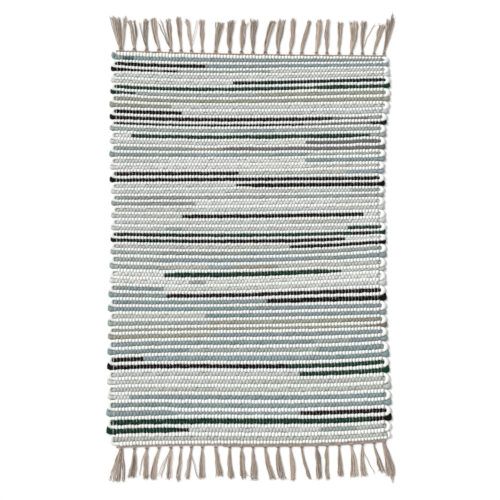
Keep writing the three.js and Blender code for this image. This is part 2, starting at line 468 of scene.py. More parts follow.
class GrainGroup:
    """The shader group that all yarns share: fibres along the lay, and a slow drift of the tone."""

    name: str = "cotton_grain"
    starts: dict[str, float] = {
        "Along": 300.0, "Across": 1500.0, "Twist": 0.0, "Drift": 0.2, "Speck": 0.2, "Own": 0.0,
    }
    drift_scale: float = 42.0
    rough: tuple[float, float] = (0.18, 0.8)

    def build(self) -> bpy.types.NodeTree:
        """Draws the group.

        Returns:
            A tree with a colour and the values of starts as inputs, and Colour, Rough and Height
            as outputs.
        """
        tree = bpy.data.node_groups.new(self.name, "ShaderNodeTree")
        sheet = NodeSheet(tree)
        sheet.socket("Colour", "NodeSocketColor", start=(0.8, 0.8, 0.8, 1))
        for name, start in self.starts.items():
            sheet.socket(name, "NodeSocketFloat", start=start)
        sheet.socket("Colour", "NodeSocketColor", way="OUTPUT")
        for name in ("Rough", "Height"):
            sheet.socket(name, "NodeSocketFloat", way="OUTPUT")
        given = sheet.add("NodeGroupInput").outputs
        lay = sheet.attribute(LAY)["Vector"]
        part = sheet.add("ShaderNodeSeparateXYZ", {0: lay}).outputs
        turned = sheet.math("ADD", part[1], sheet.math("MULTIPLY", part[0], given["Twist"]))
        stretched = sheet.add("ShaderNodeCombineXYZ", {
            0: sheet.math("MULTIPLY", part[0], given["Along"]),
            1: sheet.math("MULTIPLY", turned, given["Across"]),
            2: part[2],
        }).outputs[0]
        fine = sheet.add("ShaderNodeTexNoise", {
            "Vector": stretched, "Scale": 1.0, "Detail": 3.0, "Roughness": 0.6,
        }).outputs[0]
        slow = sheet.add("ShaderNodeTexNoise", {
            "Vector": lay, "Scale": self.drift_scale, "Detail": 2.0, "Roughness": 0.5,
        }).outputs[0]
        drift, speck, own = (
            sheet.math("MULTIPLY", sheet.math("SUBTRACT", value, MIDDLE_TONE), given[name])
            for name, value in (("Drift", slow), ("Speck", fine), ("Own", part[2]))
        )
        gain = sheet.math("ADD", sheet.math("ADD", drift, speck), sheet.math("ADD", own, 1.0))
        scaled = {0: given["Colour"], 3: gain}
        toned = sheet.add("ShaderNodeVectorMath", scaled, operation="SCALE").outputs[0]
        rough = sheet.math("ADD", sheet.math("MULTIPLY", fine, self.rough[0]), self.rough[1])
        sheet.add("NodeGroupOutput", {"Colour": toned, "Rough": rough, "Height": fine})
        return tree


@dataclass(frozen=True)
class YarnFinish:
    """A finish of cotton: its colour, or that of each rag, and how its fibres or threads run."""

    name: str
    seen: tuple[int, int, int] | None
    along: float
    across: float
    twist: float
    drift: float
    speck: float
    own: float
    bump: float
    sheen: float
    gloss: float
    bump_depth: float = 0.0006
    sheen_rough: float = 0.5

    def material(self, grain: bpy.types.NodeTree) -> bpy.types.Material:
        """Makes the material.

        Args:
            grain: the shared grain group.

        Returns:
            The material.
        """
        made = bpy.data.materials.new(self.name)
        made.use_nodes = True
        sheet = NodeSheet(made.node_tree)
        shader = made.node_tree.nodes["Principled BSDF"]
        links = made.node_tree.links
        group = sheet.add("ShaderNodeGroup", node_tree=grain)
        for name in GrainGroup.starts:
            group.inputs[name].default_value = getattr(self, name.lower())
        if self.seen is None:
            links.new(sheet.attribute(RAG_COLOUR)["Color"], group.inputs["Colour"])
        else:
            group.inputs["Colour"].default_value = (*seen_to_linear(self.seen), 1)
        bump = sheet.add("ShaderNodeBump", {
            "Height": group.outputs["Height"], "Strength": self.bump, "Distance": self.bump_depth,
        })
        links.new(group.outputs["Colour"], shader.inputs["Base Color"])
        links.new(group.outputs["Rough"], shader.inputs["Roughness"])
        links.new(bump.outputs[0], shader.inputs["Normal"])
        shader.inputs["Sheen Weight"].default_value = self.sheen
        shader.inputs["Sheen Roughness"].default_value = self.sheen_rough
        shader.inputs["Specular IOR Level"].default_value = self.gloss
        return made


COTTON_FINISH = YarnFinish(
    name="white_cotton", seen=(243, 245, 242), along=260, across=2600, twist=0, drift=0.1,
    speck=0.12, own=0.0, bump=0.5, sheen=0.2, gloss=0.2,
)
RAG_FINISH = YarnFinish(
    name="torn_rags", seen=None, along=700, across=1900, twist=0, drift=0.4,
    speck=0.4, own=0.0, bump=0.6, sheen=0.02, gloss=0.12,
)
WARP_FINISH = YarnFinish(
    name="warp_in_cloth", seen=(186, 181, 173), along=350, across=2400, twist=1.1, drift=0.6,
    speck=0.6, own=0.5, bump=0.7, sheen=0.1, gloss=0.15,
)
FRINGE_FINISH = replace(WARP_FINISH, name="warp_yarn", seen=(184, 168, 154), own=0.95)


class RagChart:
    """The chart of the rag picks, read from RAG_PICKS."""

    fullness: dict[str, float] = {"-": 0.62, "": 1.0, "+": 1.22}
    tone_spread: float = 0.12

    def __init__(self, rng: np.random.Generator) -> None:
        """Reads each pick into the ends, colours and fullness of its rags.

        Args:
            rng: gives each rag a slightly different tone.
        """
        self.ends: list[np.ndarray] = []
        self.colours: list[np.ndarray] = []
        self.full: list[np.ndarray] = []
        for line in RAG_PICKS:
            words = line.split()
            cloths, ends = words[0::2], words[1::2]
            plain = [word.rstrip("+-") for word in cloths]
            tone = 1 + self.tone_spread * (rng.random((len(plain), 1)) - MIDDLE_TONE)
            self.ends.append(np.array(ends, float) / 100)
            self.colours.append(np.array([Cloth[word.upper()].linear() for word in plain]) * tone)
            marks = [word[len(base):] for word, base in zip(cloths, plain)]
            self.full.append(np.array([self.fullness[mark] for mark in marks]))

    def at(self, row: int, across: np.ndarray) -> tuple[np.ndarray, np.ndarray]:
        """Which rag a pick shows.

        Args:
            row: number of the rag pick, from the far end.
            across: places across the rug, from 0 at the left to 1.

        Returns:
            The colour and the fullness at each place.
        """
        ends = self.ends[row]
        which = np.minimum(np.searchsorted(ends, across, side="left"), len(ends) - 1)
        return self.colours[row][which], self.full[row][which]


@dataclass
class Path:
    """A stretch of weft: its middle line, half width, underside, top and colour, point by point."""

    x: np.ndarray
    y: np.ndarray
    half: np.ndarray
    low: np.ndarray
    top: np.ndarray
    colour: np.ndarray

    def picked(self, which: slice) -> Path:
        """The points that a slice takes."""
        return Path(*(getattr(self, part.name)[which] for part in fields(self)))

    def first(self) -> Path:
        """The first point alone."""
        return self.picked(slice(0, 1))

    @staticmethod
    def chain(paths: Sequence[Path]) -> Path:
        """Joins stretches end to end."""
        joined = ([getattr(path, part.name) for path in paths] for part in fields(Path))
        return Path(*map(np.concatenate, joined))


@dataclass
class WovenField:
    """The cloth: two wefts as snaking tubes, a bead over every second warp, and the warps."""

    lie: Lie = field(default_factory=Lie)
    seed: int = 7
    warps: int = 168
    picks: int = 2 * len(RAG_PICKS) + 1
    columns: int = 85
    warp_room: float = 0.009
    turn_room: float = 0.02
    cut_room: float = 0.006
    cut_ends: tuple[tuple[int, int], ...] = ((0, -1), (1, -1), (115, -1), (116, 1))
    cotton_share: float = 1.0
    rag_share: float = 1.02
    bead_half: float = 0.56
    dip_half: float = 0.45
    crest: float = 6.1
    crest_most: float = 6.9
    dip: float = 2.6
    under: float = 0.2
    tunnel: float = 2.1
    bead_steps: tuple[float, ...] = (0.0, 0.13, 0.37, 0.63, 0.87)
    section_across: tuple[float, ...] = (-1.0, -0.6, 0.6, 1.0, 0.6, -0.6)
    section_up: tuple[float, ...] = (0.46, 1.0, 1.0, 0.46, 0.0, 0.0)
    # A turn, point by point: depth from the selvedge, share of the way to the next pick, half
    # width, low and top.
    cotton_turn: tuple[tuple[float, ...], ...] = (
        (10.2, 0.02, 3.3, 0.3, 5.6),
        (7.2, 0.13, 3.9, 1.0, 5.7),
        (5.3, 0.31, 4.6, 2.2, 5.9),
        (4.6, 0.5, 4.7, 2.6, 6.0),
        (5.3, 0.69, 4.6, 2.2, 5.9),
        (7.2, 0.87, 3.9, 1.0, 5.7),
        (10.2, 0.98, 3.3, 0.3, 5.6),
    )
    rag_turn: tuple[tuple[float, ...], ...] = (
        (10.0, 0.04, 2.8, 0.2, 2.8),
        (6.0, 0.25, 2.6, 0.2, 2.4),
        (3.4, 0.52, 2.8, 0.3, 3.0),
        (2.2, 0.74, 2.8, 0.4, 4.9),
        (3.5, 0.91, 5.4, 0.3, 5.6),
        (6.6, 0.99, 5.3, 0.2, 6.0),
        (10.0, 1.0, 4.3, 0.2, 5.9),
    )
    # A free end that is folded towards the far end: depth, millimetres along Y, half width, low
    # and top.
    fold: tuple[tuple[float, ...], ...] = (
        (4.6, 0.9, 3.3, 0.4, 6.1),
        (3.5, 3.6, 3.4, 1.4, 6.6),
        (3.6, 7.6, 3.2, 1.6, 6.6),
        (5.2, 11.2, 2.5, 1.6, 5.4),
    )
    folded_ends: tuple[tuple[int, int], ...] = ((1, -1), (116, 1))
    short_turns: tuple[int, ...] = (113,)
    # Depth of the turns at the short places: the least, and the share of the usual depth on top.
    short_depth: tuple[float, float] = (6.0, 0.4)
    turn_half: float = 3.4
    turn_range: tuple[float, float] = (0.75, 1.15)
    edge_play: float = 0.6
    blend: int = 5
    cotton_loose: float = 0.05
    rag_loose: float = 0.1
    bead_power: float = 3.2
    crest_by_share: float = 0.28
    share_range: tuple[float, float] = (0.5, 1.3)
    crest_play: float = 0.5
    aside_play: float = 4.0
    tunnel_half: float = 0.2
    warp_radius: float = 0.98
    warp_sides: int = 3
    warp_flat: float = 0.26
    warp_over: float = 0.5
    warp_gap: float = 0.1
    bake_gap: float = 0.04
    bake_cap: float = 0.03
    bake_cap_at: float = 0.3

    def __post_init__(self) -> None:
        """Works out where every pick lies."""
        self.rng = np.random.default_rng(self.seed)
        self.chart = RagChart(self.rng)
        self.across = np.linspace(0, 1, self.columns)
        inner = 1 - 2 * self.warp_room
        self.warp_at = self.warp_room + (np.arange(self.warps) + 0.5) / self.warps * inner
        self._settle()
        self.rows = [self._woven(pick) for pick in range(self.picks)]

    def _settle(self) -> None:
        """Packs the picks between the read rows, each as wide as its yarn is full."""
        share = np.full((self.picks, self.columns), self.cotton_share)
        smooth = np.ones(self.blend) / self.blend
        for row in range(len(RAG_PICKS)):
            full = np.pad(self.chart.at(row, self.across)[1], self.blend // 2, mode="edge")
            share[2 * row + 1] = self.rag_share * np.convolve(full, smooth, mode="valid")
        self.share = share
        self.pick_y = np.zeros_like(share)
        self.pick_width = np.zeros_like(share)
        for column, u in enumerate(self.across):
            edge = np.concatenate([[0], np.cumsum(share[:, column])])
            centre = edge[:-1] + share[:, column] / 2
            steps = np.arange(-0.5, self.picks, 0.5)
            at_row = np.interp(self.lie.pick, steps, self._halves(edge, centre))
            x = self.lie.edge[-1] + (self.lie.edge[1] - self.lie.edge[-1]) * u
            y = np.array([float(self.lie.row_y(row, place)) for row, place in enumerate(x)])
            self.pick_y[:, column] = np.interp(centre, at_row, y)
            self.pick_width[:, column] = -np.diff(np.interp(edge, at_row, y))

    @staticmethod
    def _halves(edge: np.ndarray, centre: np.ndarray) -> np.ndarray:
        """Edges and middles of the picks in turn."""
        mixed = np.empty(len(edge) + len(centre))
        mixed[0::2], mixed[1::2] = edge, centre
        return mixed

    def _row(self, pick: int) -> Path:
        """One pick from the left to the right, a bead between every two warps that hold it down.

        Args:
            pick: number of the pick from the far end.

        Returns:
            Its path.
        """
        holds = self.warp_at[(pick + np.arange(self.warps)) % 2 == 1]
        room = [
            self.cut_room if (pick, side) in self.cut_ends else self.turn_room for side in (-1, 1)
        ]
        holds = holds[(holds > room[0]) & (holds < 1 - room[1])]
        steps = np.array(self.bead_steps)
        u = np.append((holds[:-1, None] + np.diff(holds)[:, None] * steps).ravel(), holds[-1])
        t = np.append(np.tile(steps, len(holds) - 1), 0.0)
        bead = np.append(np.repeat(np.arange(len(holds) - 1), len(steps)), len(holds) - 2)
        left, right = self.lie.edges(pick)
        loose = self.cotton_loose if pick % 2 == Weft.COTTON.value else self.rag_loose
        fat, tall, aside = (1 + loose * self.rng.standard_normal(len(holds)) for _ in range(3))
        swell = 1 - np.abs(2 * t - 1) ** self.bead_power
        share = np.interp(u, self.across, self.share[pick])
        width = np.interp(u, self.across, self.pick_width[pick])
        full = 1 - self.crest_by_share + self.crest_by_share * np.clip(share, *self.share_range)
        crest = self.crest * full * (1 + self.crest_play * (tall[bead] - 1))
        crest = np.minimum(crest, self.crest_most)
        half = width * (self.dip_half + (self.bead_half - self.dip_half) * swell) * fat[bead]
        colour = np.tile(seen_to_linear(COTTON_FINISH.seen), (len(u), 1))
        if pick % 2 == Weft.RAG.value:
            colour = self.chart.at(pick // 2, u)[0]
        return Path(
            x=left + (right - left) * u,
            y=np.interp(u, self.across, self.pick_y[pick])
            + self.aside_play * (aside[bead] - 1) * swell,
            half=half,
            low=self.under
            + (self.tunnel - self.under) * np.exp(-(((t - 0.5) / self.tunnel_half) ** 2)),
            top=self.dip + (crest - self.dip) * swell,
            colour=colour,
        )

    def _turn(self, pick: int, start: Path, stop: Path, side: int) -> Path:
        """The turn of a weft at a selvedge, from one pick to the next of its kind.

        Args:
            pick: the pick that it leaves.
            start: that pick's path, as woven.
            stop: the next pick's path, as woven.
            side: -1 at the left, 1 at the right.

        Returns:
            The turn's path.
        """
        cotton = pick % 2 == Weft.COTTON.value
        keys = np.array(self.cotton_turn if cotton else self.rag_turn)
        edge = self.lie.edges(pick + 1.0)[(side + 1) // 2] + self.rng.normal(0, self.edge_play)
        half = 0.5 * (start.half[-1] + stop.half[0])
        fat = 1.0 if cotton else float(np.clip(half / self.turn_half, *self.turn_range))
        leaves = (keys[:, 1] < 0.5)[:, None]
        depth = keys[:, 0]
        if pick in self.short_turns:
            depth = self.short_depth[0] + self.short_depth[1] * depth
        return Path(
            x=edge - side * depth,
            y=start.y[-1] + (stop.y[0] - start.y[-1]) * keys[:, 1],
            half=keys[:, 2] * fat,
            low=keys[:, 3],
            top=keys[:, 4],
            colour=np.where(leaves, start.colour[-1], stop.colour[0]),
        )

    def _fold(self, pick: int, side: int) -> Path:
        """The free end of a weft beyond its first or last pick.

        Args:
            pick: that pick.
            side: -1 at the left, 1 at the right.

        Returns:
            The fold's path, from the pick outwards.
        """
        keys = np.array(self.fold)
        last = self.rows[pick].picked(slice(0, 1) if side < 0 else slice(-1, None))
        return Path(
            x=self.lie.edges(pick)[(side + 1) // 2] - side * keys[:, 0],
            y=last.y + keys[:, 1],
            half=keys[:, 2],
            low=keys[:, 3],
            top=keys[:, 4],
            colour=np.repeat(last.colour, len(keys), axis=0),
        )

    def _woven(self, pick: int) -> Path:
        """A pick in the way that its shuttle went."""
        row = self._row(pick)
        if (pick // 2) % 2 == 0:
            return row
        return row.picked(slice(None, None, -1))

    def wefts(self, weft: Weft, first: int, last: int) -> tuple[Path, np.ndarray]:
        """A run of picks of one weft, with the turns between them.

        Args:
            weft: which weft.
            first: number of its first pick, among its own.
            last: number after its last one.

        Returns:
            The path, and the number of the pick that each of its points belongs to.
        """
        parts: list[Path] = []
        strip: list[np.ndarray] = []
        for i, pick in enumerate(2 * row + weft.value for row in range(first, last)):
            if (pick, -1) in self.folded_ends:
                parts.append(self._fold(pick, -1).picked(slice(None, None, -1)))
            parts.append(self.rows[pick])
            if (pick, 1) in self.folded_ends:
                parts.append(self._fold(pick, 1))
            if pick + 2 < self.picks:
                side = 1 if (pick // 2) % 2 == 0 else -1
                parts.append(self._turn(pick, self.rows[pick], self.rows[pick + 2], side))
            strip.append(np.full(sum(len(part.x) for part in parts) - sum(map(len, strip)), i))
        if pick + 2 < self.picks:
            parts.append(self.rows[pick + 2].first())
            strip.append(np.full(1, i))
        return Path.chain(parts), np.concatenate(strip)

    def weft_mesh(self, name: str, weft: Weft, first: int, last: int) -> bpy.types.Mesh:
        """The tube of a run of picks.

        Args:
            name: name of the mesh.
            weft: which weft.
            first: number of its first pick, among its own.
            last: number after its last one.

        Returns:
            The mesh, with the lay, the rag's colour and a map for baking.
        """
        path, strip = self.wefts(weft, first, last)
        count, sides = len(path.x), len(self.section_across)
        way = np.stack([np.gradient(path.x), np.gradient(path.y)], axis=1)
        way /= np.linalg.norm(way, axis=1, keepdims=True)
        across = np.array(self.section_across)
        up = np.array(self.section_up)
        points = np.empty((count, sides, 3))
        points[..., 0] = path.x[:, None] - way[:, 1:2] * path.half[:, None] * across
        points[..., 1] = path.y[:, None] + way[:, 0:1] * path.half[:, None] * across
        points[..., 2] = path.low[:, None] + (path.top - path.low)[:, None] * up
        ring = np.arange(count - 1)[:, None] * sides
        side = np.arange(sides)
        after = (side + 1) % sides
        corners = [ring + after, ring + side, ring + sides + side, ring + sides + after]
        faces = np.stack(corners, axis=-1).reshape(-1, 4)
        last = (count - 1) * sides
        caps = (tuple(range(sides)), tuple(range(last + sides - 1, last - 1, -1)))
        mesh = mesh_from_arrays(name, to_world(points.reshape(-1, 3)), faces, caps)
        self._lay(mesh, path, points)
        self._bake_map(mesh, strip, sides)
        return mesh

    def _lay(self, mesh: bpy.types.Mesh, path: Path, points: np.ndarray) -> None:
        """Stores how far each point is along and around its yarn, and the colour there.

        Args:
            mesh: the mesh.
            path: the weft's path.
            points: its points, section by section.
        """
        along = np.concatenate([[0], np.cumsum(np.hypot(np.diff(path.x), np.diff(path.y)))])
        steps = np.diff(points, axis=1, prepend=points[:, :1])
        around = np.cumsum(np.linalg.norm(steps, axis=2), axis=1)
        run = np.broadcast_to(along[:, None], around.shape)
        tone = np.full_like(around, MIDDLE_TONE / MM)
        store(mesh, LAY, "FLOAT_VECTOR", np.stack([run, around, tone], axis=-1) * MM)
        colour = np.column_stack([path.colour, np.ones(len(path.x))])
        store(mesh, RAG_COLOUR, "FLOAT_COLOR", np.repeat(colour, points.shape[1], axis=0))

    def _bake_map(self, mesh: bpy.types.Mesh, strip: np.ndarray, sides: int) -> None:
        """Lays each pick flat as a strip for baking, with the two cut ends in the first gap.

        Args:
            mesh: the mesh.
            strip: which pick each section belongs to.
            sides: points in a section.
        """
        rows = int(strip[-1]) + 1
        own = strip[:-1, None]
        step = np.arange(len(own)) - np.searchsorted(strip, strip[:-1])
        step = step[:, None] + np.zeros((1, sides))
        length = np.bincount(strip)[own]
        tall = 1 - 2 * self.bake_gap
        low = (own + self.bake_gap + tall * np.arange(sides) / sides) / rows
        high = low + tall / sides / rows
        left, right = step / length, (step + 1) / length
        quads = np.stack([left, high, left, low, right, low, right, high], axis=-1).reshape(-1, 2)
        turn = 2 * np.pi * np.arange(sides) / sides
        cap = np.stack([np.cos(turn), np.sin(turn)], axis=1) * self.bake_cap / rows
        cap = cap + [self.bake_cap_at, 1 / rows]
        flat = np.concatenate([quads, cap, cap[::-1] + [self.bake_cap_at, 0]])
        mesh.uv_layers.new(name=BAKE_MAP).uv.foreach_set("vector", flat.astype(np.float32).ravel())

    def warp_lines(self) -> list[np.ndarray]:
        """The warps' middle lines: over a pick with a flat back, under the next.

        Returns:
            The points of each warp, along the rug, in millimetres.
        """
        lines = []
        for warp, u in enumerate(self.warp_at):
            picks = np.arange(self.picks)
            over = ((picks + warp) % 2 == 1) & (self.turn_room < u < 1 - self.turn_room)
            y = np.array([np.interp(u, self.across, own) for own in self.pick_y])
            x = np.array([left + (right - left) * u for left, right in map(self.lie.edges, picks)])
            width = np.array([np.interp(u, self.across, own) for own in self.pick_width])
            room = self.warp_flat * width
            flat = np.repeat(np.arange(self.picks), np.where(over, 2, 1))
            first = np.concatenate([[True], np.diff(flat) > 0])
            aside = np.where(over[flat], np.where(first, 1.0, -1.0), 0.0) * room[flat]
            z = np.where(over[flat], self.dip + self.warp_over, self.warp_radius + self.warp_gap)
            lines.append(np.column_stack([x[flat], y[flat] + aside, z]))
        return lines


class YarnTree:
    """The node tree that turns lines into yarn: a tapered tube that keeps how far it has run."""

    tip_power: float = 6.0
    lay_parts: tuple[str, ...] = ("ran", "round", "tone")

    def __init__(self) -> None:
        """Draws the tree."""
        sheet = NodeSheet(bpy.data.node_groups.new("yarn_along_lines", "GeometryNodeTree"))
        self.tree = sheet.tree
        sheet.socket("Geometry", "NodeSocketGeometry")
        self.radius = sheet.socket("Radius", "NodeSocketFloat", start=0.001)
        self.sides = sheet.socket("Sides", "NodeSocketInt", start=5)
        self.rings = sheet.socket("Rings", "NodeSocketInt", start=30)
        self.soft = sheet.socket("Soft", "NodeSocketBool", start=True)
        self.tip = sheet.socket("Tip", "NodeSocketFloat", start=1.0)
        self.finish = sheet.socket("Finish", "NodeSocketMaterial")
        sheet.socket("Geometry", "NodeSocketGeometry", way="OUTPUT")
        given = sheet.add("NodeGroupInput").outputs
        lines = sheet.step("MeshToCurve", {0: given["Geometry"]})
        eased = sheet.step("CurveSplineType", {"Curve": lines}, spline_type="CATMULL_ROM")
        even = sheet.step("ResampleCurve", {"Curve": eased, "Count": given["Rings"]})
        path = sheet.step("Switch", {"Switch": given["Soft"], "False": lines, "True": even})
        spline = sheet.add("GeometryNodeSplineParameter").outputs
        late = sheet.math("POWER", spline["Factor"], self.tip_power)
        less = sheet.math("SUBTRACT", given["Tip"], 1.0)
        thin = sheet.math("ADD", 1.0, sheet.math("MULTIPLY", late, less))
        shaped = sheet.step("SetCurveRadius", {"Curve": path, "Radius": thin})
        size = {"Resolution": given["Sides"], "Radius": given["Radius"]}
        tube = sheet.step("CurveToMesh", {
            "Curve": sheet.keep(shaped, "ran", spline["Length"]),
            "Profile Curve": sheet.keep(
                sheet.step("CurvePrimitiveCircle", size), "round", spline["Length"]
            ),
            "Fill Caps": True,
        })
        read = [sheet.step("InputNamedAttribute", {"Name": name}) for name in self.lay_parts]
        lay = sheet.add("ShaderNodeCombineXYZ", dict(enumerate(read))).outputs[0]
        kept = sheet.keep(tube, LAY, lay, "FLOAT_VECTOR")
        for name in self.lay_parts:
            kept = sheet.step("RemoveAttribute", {"Geometry": kept, "Name": name})
        smooth = sheet.step("SetShadeSmooth", {"Geometry": kept})
        real = sheet.step("RealizeInstances", {"Geometry": smooth})
        done = sheet.step("SetMaterial", {"Geometry": real, "Material": given["Finish"]})
        sheet.add("NodeGroupOutput", {"Geometry": done})


class KnotTree:
    """The node tree that winds a coil of yarn round every point."""

    starts: dict[str, float] = {"Radius": 0.0009, "Girth": 0.0026, "Height": 0.0034, "Turns": 2.3}
    coil_rings: int = 11
    coil_sides: int = 5
    press: float = 0.74
    sway: tuple[float, float, float] = (0.0, 0.2, 0.25)

    def __init__(self) -> None:
        """Draws the tree."""
        sheet = NodeSheet(bpy.data.node_groups.new("coils_at_points", "GeometryNodeTree"))
        self.tree = sheet.tree
        sheet.socket("Geometry", "NodeSocketGeometry")
        for name, start in self.starts.items():
            sheet.socket(name, "NodeSocketFloat", start=start)
        sheet.socket("Seed", "NodeSocketInt", start=3)
        self.finish = sheet.socket("Finish", "NodeSocketMaterial")
        sheet.socket("Geometry", "NodeSocketGeometry", way="OUTPUT")
        given = sheet.add("NodeGroupInput").outputs
        coil = sheet.step("CurveSpiral", {
            "Resolution": self.coil_rings, "Rotations": given["Turns"], "Height": given["Height"],
            "Start Radius": given["Girth"], "End Radius": given["Girth"],
        })
        size = {"Resolution": self.coil_sides, "Radius": given["Radius"]}
        ring = sheet.step("CurvePrimitiveCircle", size)
        tube = sheet.step("CurveToMesh", {"Curve": coil, "Profile Curve": ring, "Fill Caps": True})
        down = sheet.math("MULTIPLY", given["Height"], -0.5)
        middle = sheet.add("ShaderNodeCombineXYZ", {2: down}).outputs[0]
        centred = sheet.step("Transform", {"Geometry": tube, "Translation": middle})
        laid = sheet.step("Transform", {
            "Geometry": centred, "Rotation": (np.pi / 2, 0.0, 0.0), "Scale": (1.0, self.press, 1.0),
        })
        sway = {0: tuple(-most for most in self.sway), 1: self.sway, "Seed": given["Seed"]}
        turn = sheet.add("FunctionNodeRandomValue", sway, data_type="FLOAT_VECTOR").outputs[0]
        wound = sheet.step("InstanceOnPoints", {
            "Points": given["Geometry"], "Instance": laid, "Rotation": turn,
            "Scale": sheet.step("InputNamedAttribute", {"Name": "girth"}),
        })
        real = sheet.step("RealizeInstances", {"Geometry": wound})
        kept = sheet.keep(real, LAY, sheet.step("InputPosition"), "FLOAT_VECTOR")
        smooth = sheet.step("SetShadeSmooth", {"Geometry": kept})
        done = sheet.step("SetMaterial", {"Geometry": smooth, "Material": given["Finish"]})
        sheet.add("NodeGroupOutput", {"Geometry": done})


def grow(
    mesh: bpy.types.Mesh, tree: bpy.types.NodeTree, values: dict[str, object]
) -> bpy.types.Mesh:
    """Runs a node tree over a mesh and keeps what it makes as a plain mesh.

    Args:
        mesh: what the tree starts from.
        tree: the tree.
        values: its inputs, by identifier.

    Returns:
        The plain mesh.
    """
    holder = bpy.data.objects.new(mesh.name + "_start", mesh)
    bpy.context.scene.collection.objects.link(holder)
    modifier = holder.modifiers.new("grow", "NODES")
    modifier.node_group = tree
    for identifier, value in values.items():
        modifier[identifier] = value
    graph = bpy.context.evaluated_depsgraph_get()
    made = bpy.data.meshes.new_from_object(
        holder.evaluated_get(graph), preserve_all_data_layers=True, depsgraph=graph
    )
    holder.modifiers.remove(modifier)
    bpy.data.objects.remove(holder)
    return made


def line_mesh(
    name: str,
    lines: Sequence[np.ndarray],
    rng: np.random.Generator,
    tones: tuple[float, float],
) -> bpy.types.Mesh:
    """Lines as a mesh of edges, each pair with a tone of its own.

    Args:
        name: name of the mesh.
        lines: points of each line, in millimetres.
        rng: gives the lines their tones.
        tones: the darkest and the lightest tone.

    Returns:
        The mesh, in metres.
    """
    sizes = np.array([len(line) for line in lines])
    points = to_world(np.concatenate(lines))
    start = np.delete(np.arange(len(points)), np.cumsum(sizes) - 1)
    mesh = bpy.data.meshes.new(name)
    mesh.from_pydata(points.tolist(), np.column_stack([start, start + 1]).tolist(), [])
    tone = np.repeat(np.repeat(rng.uniform(*tones, len(lines)), 2)[: len(lines)], sizes)
    store(mesh, "tone", "FLOAT", tone)
    return mesh


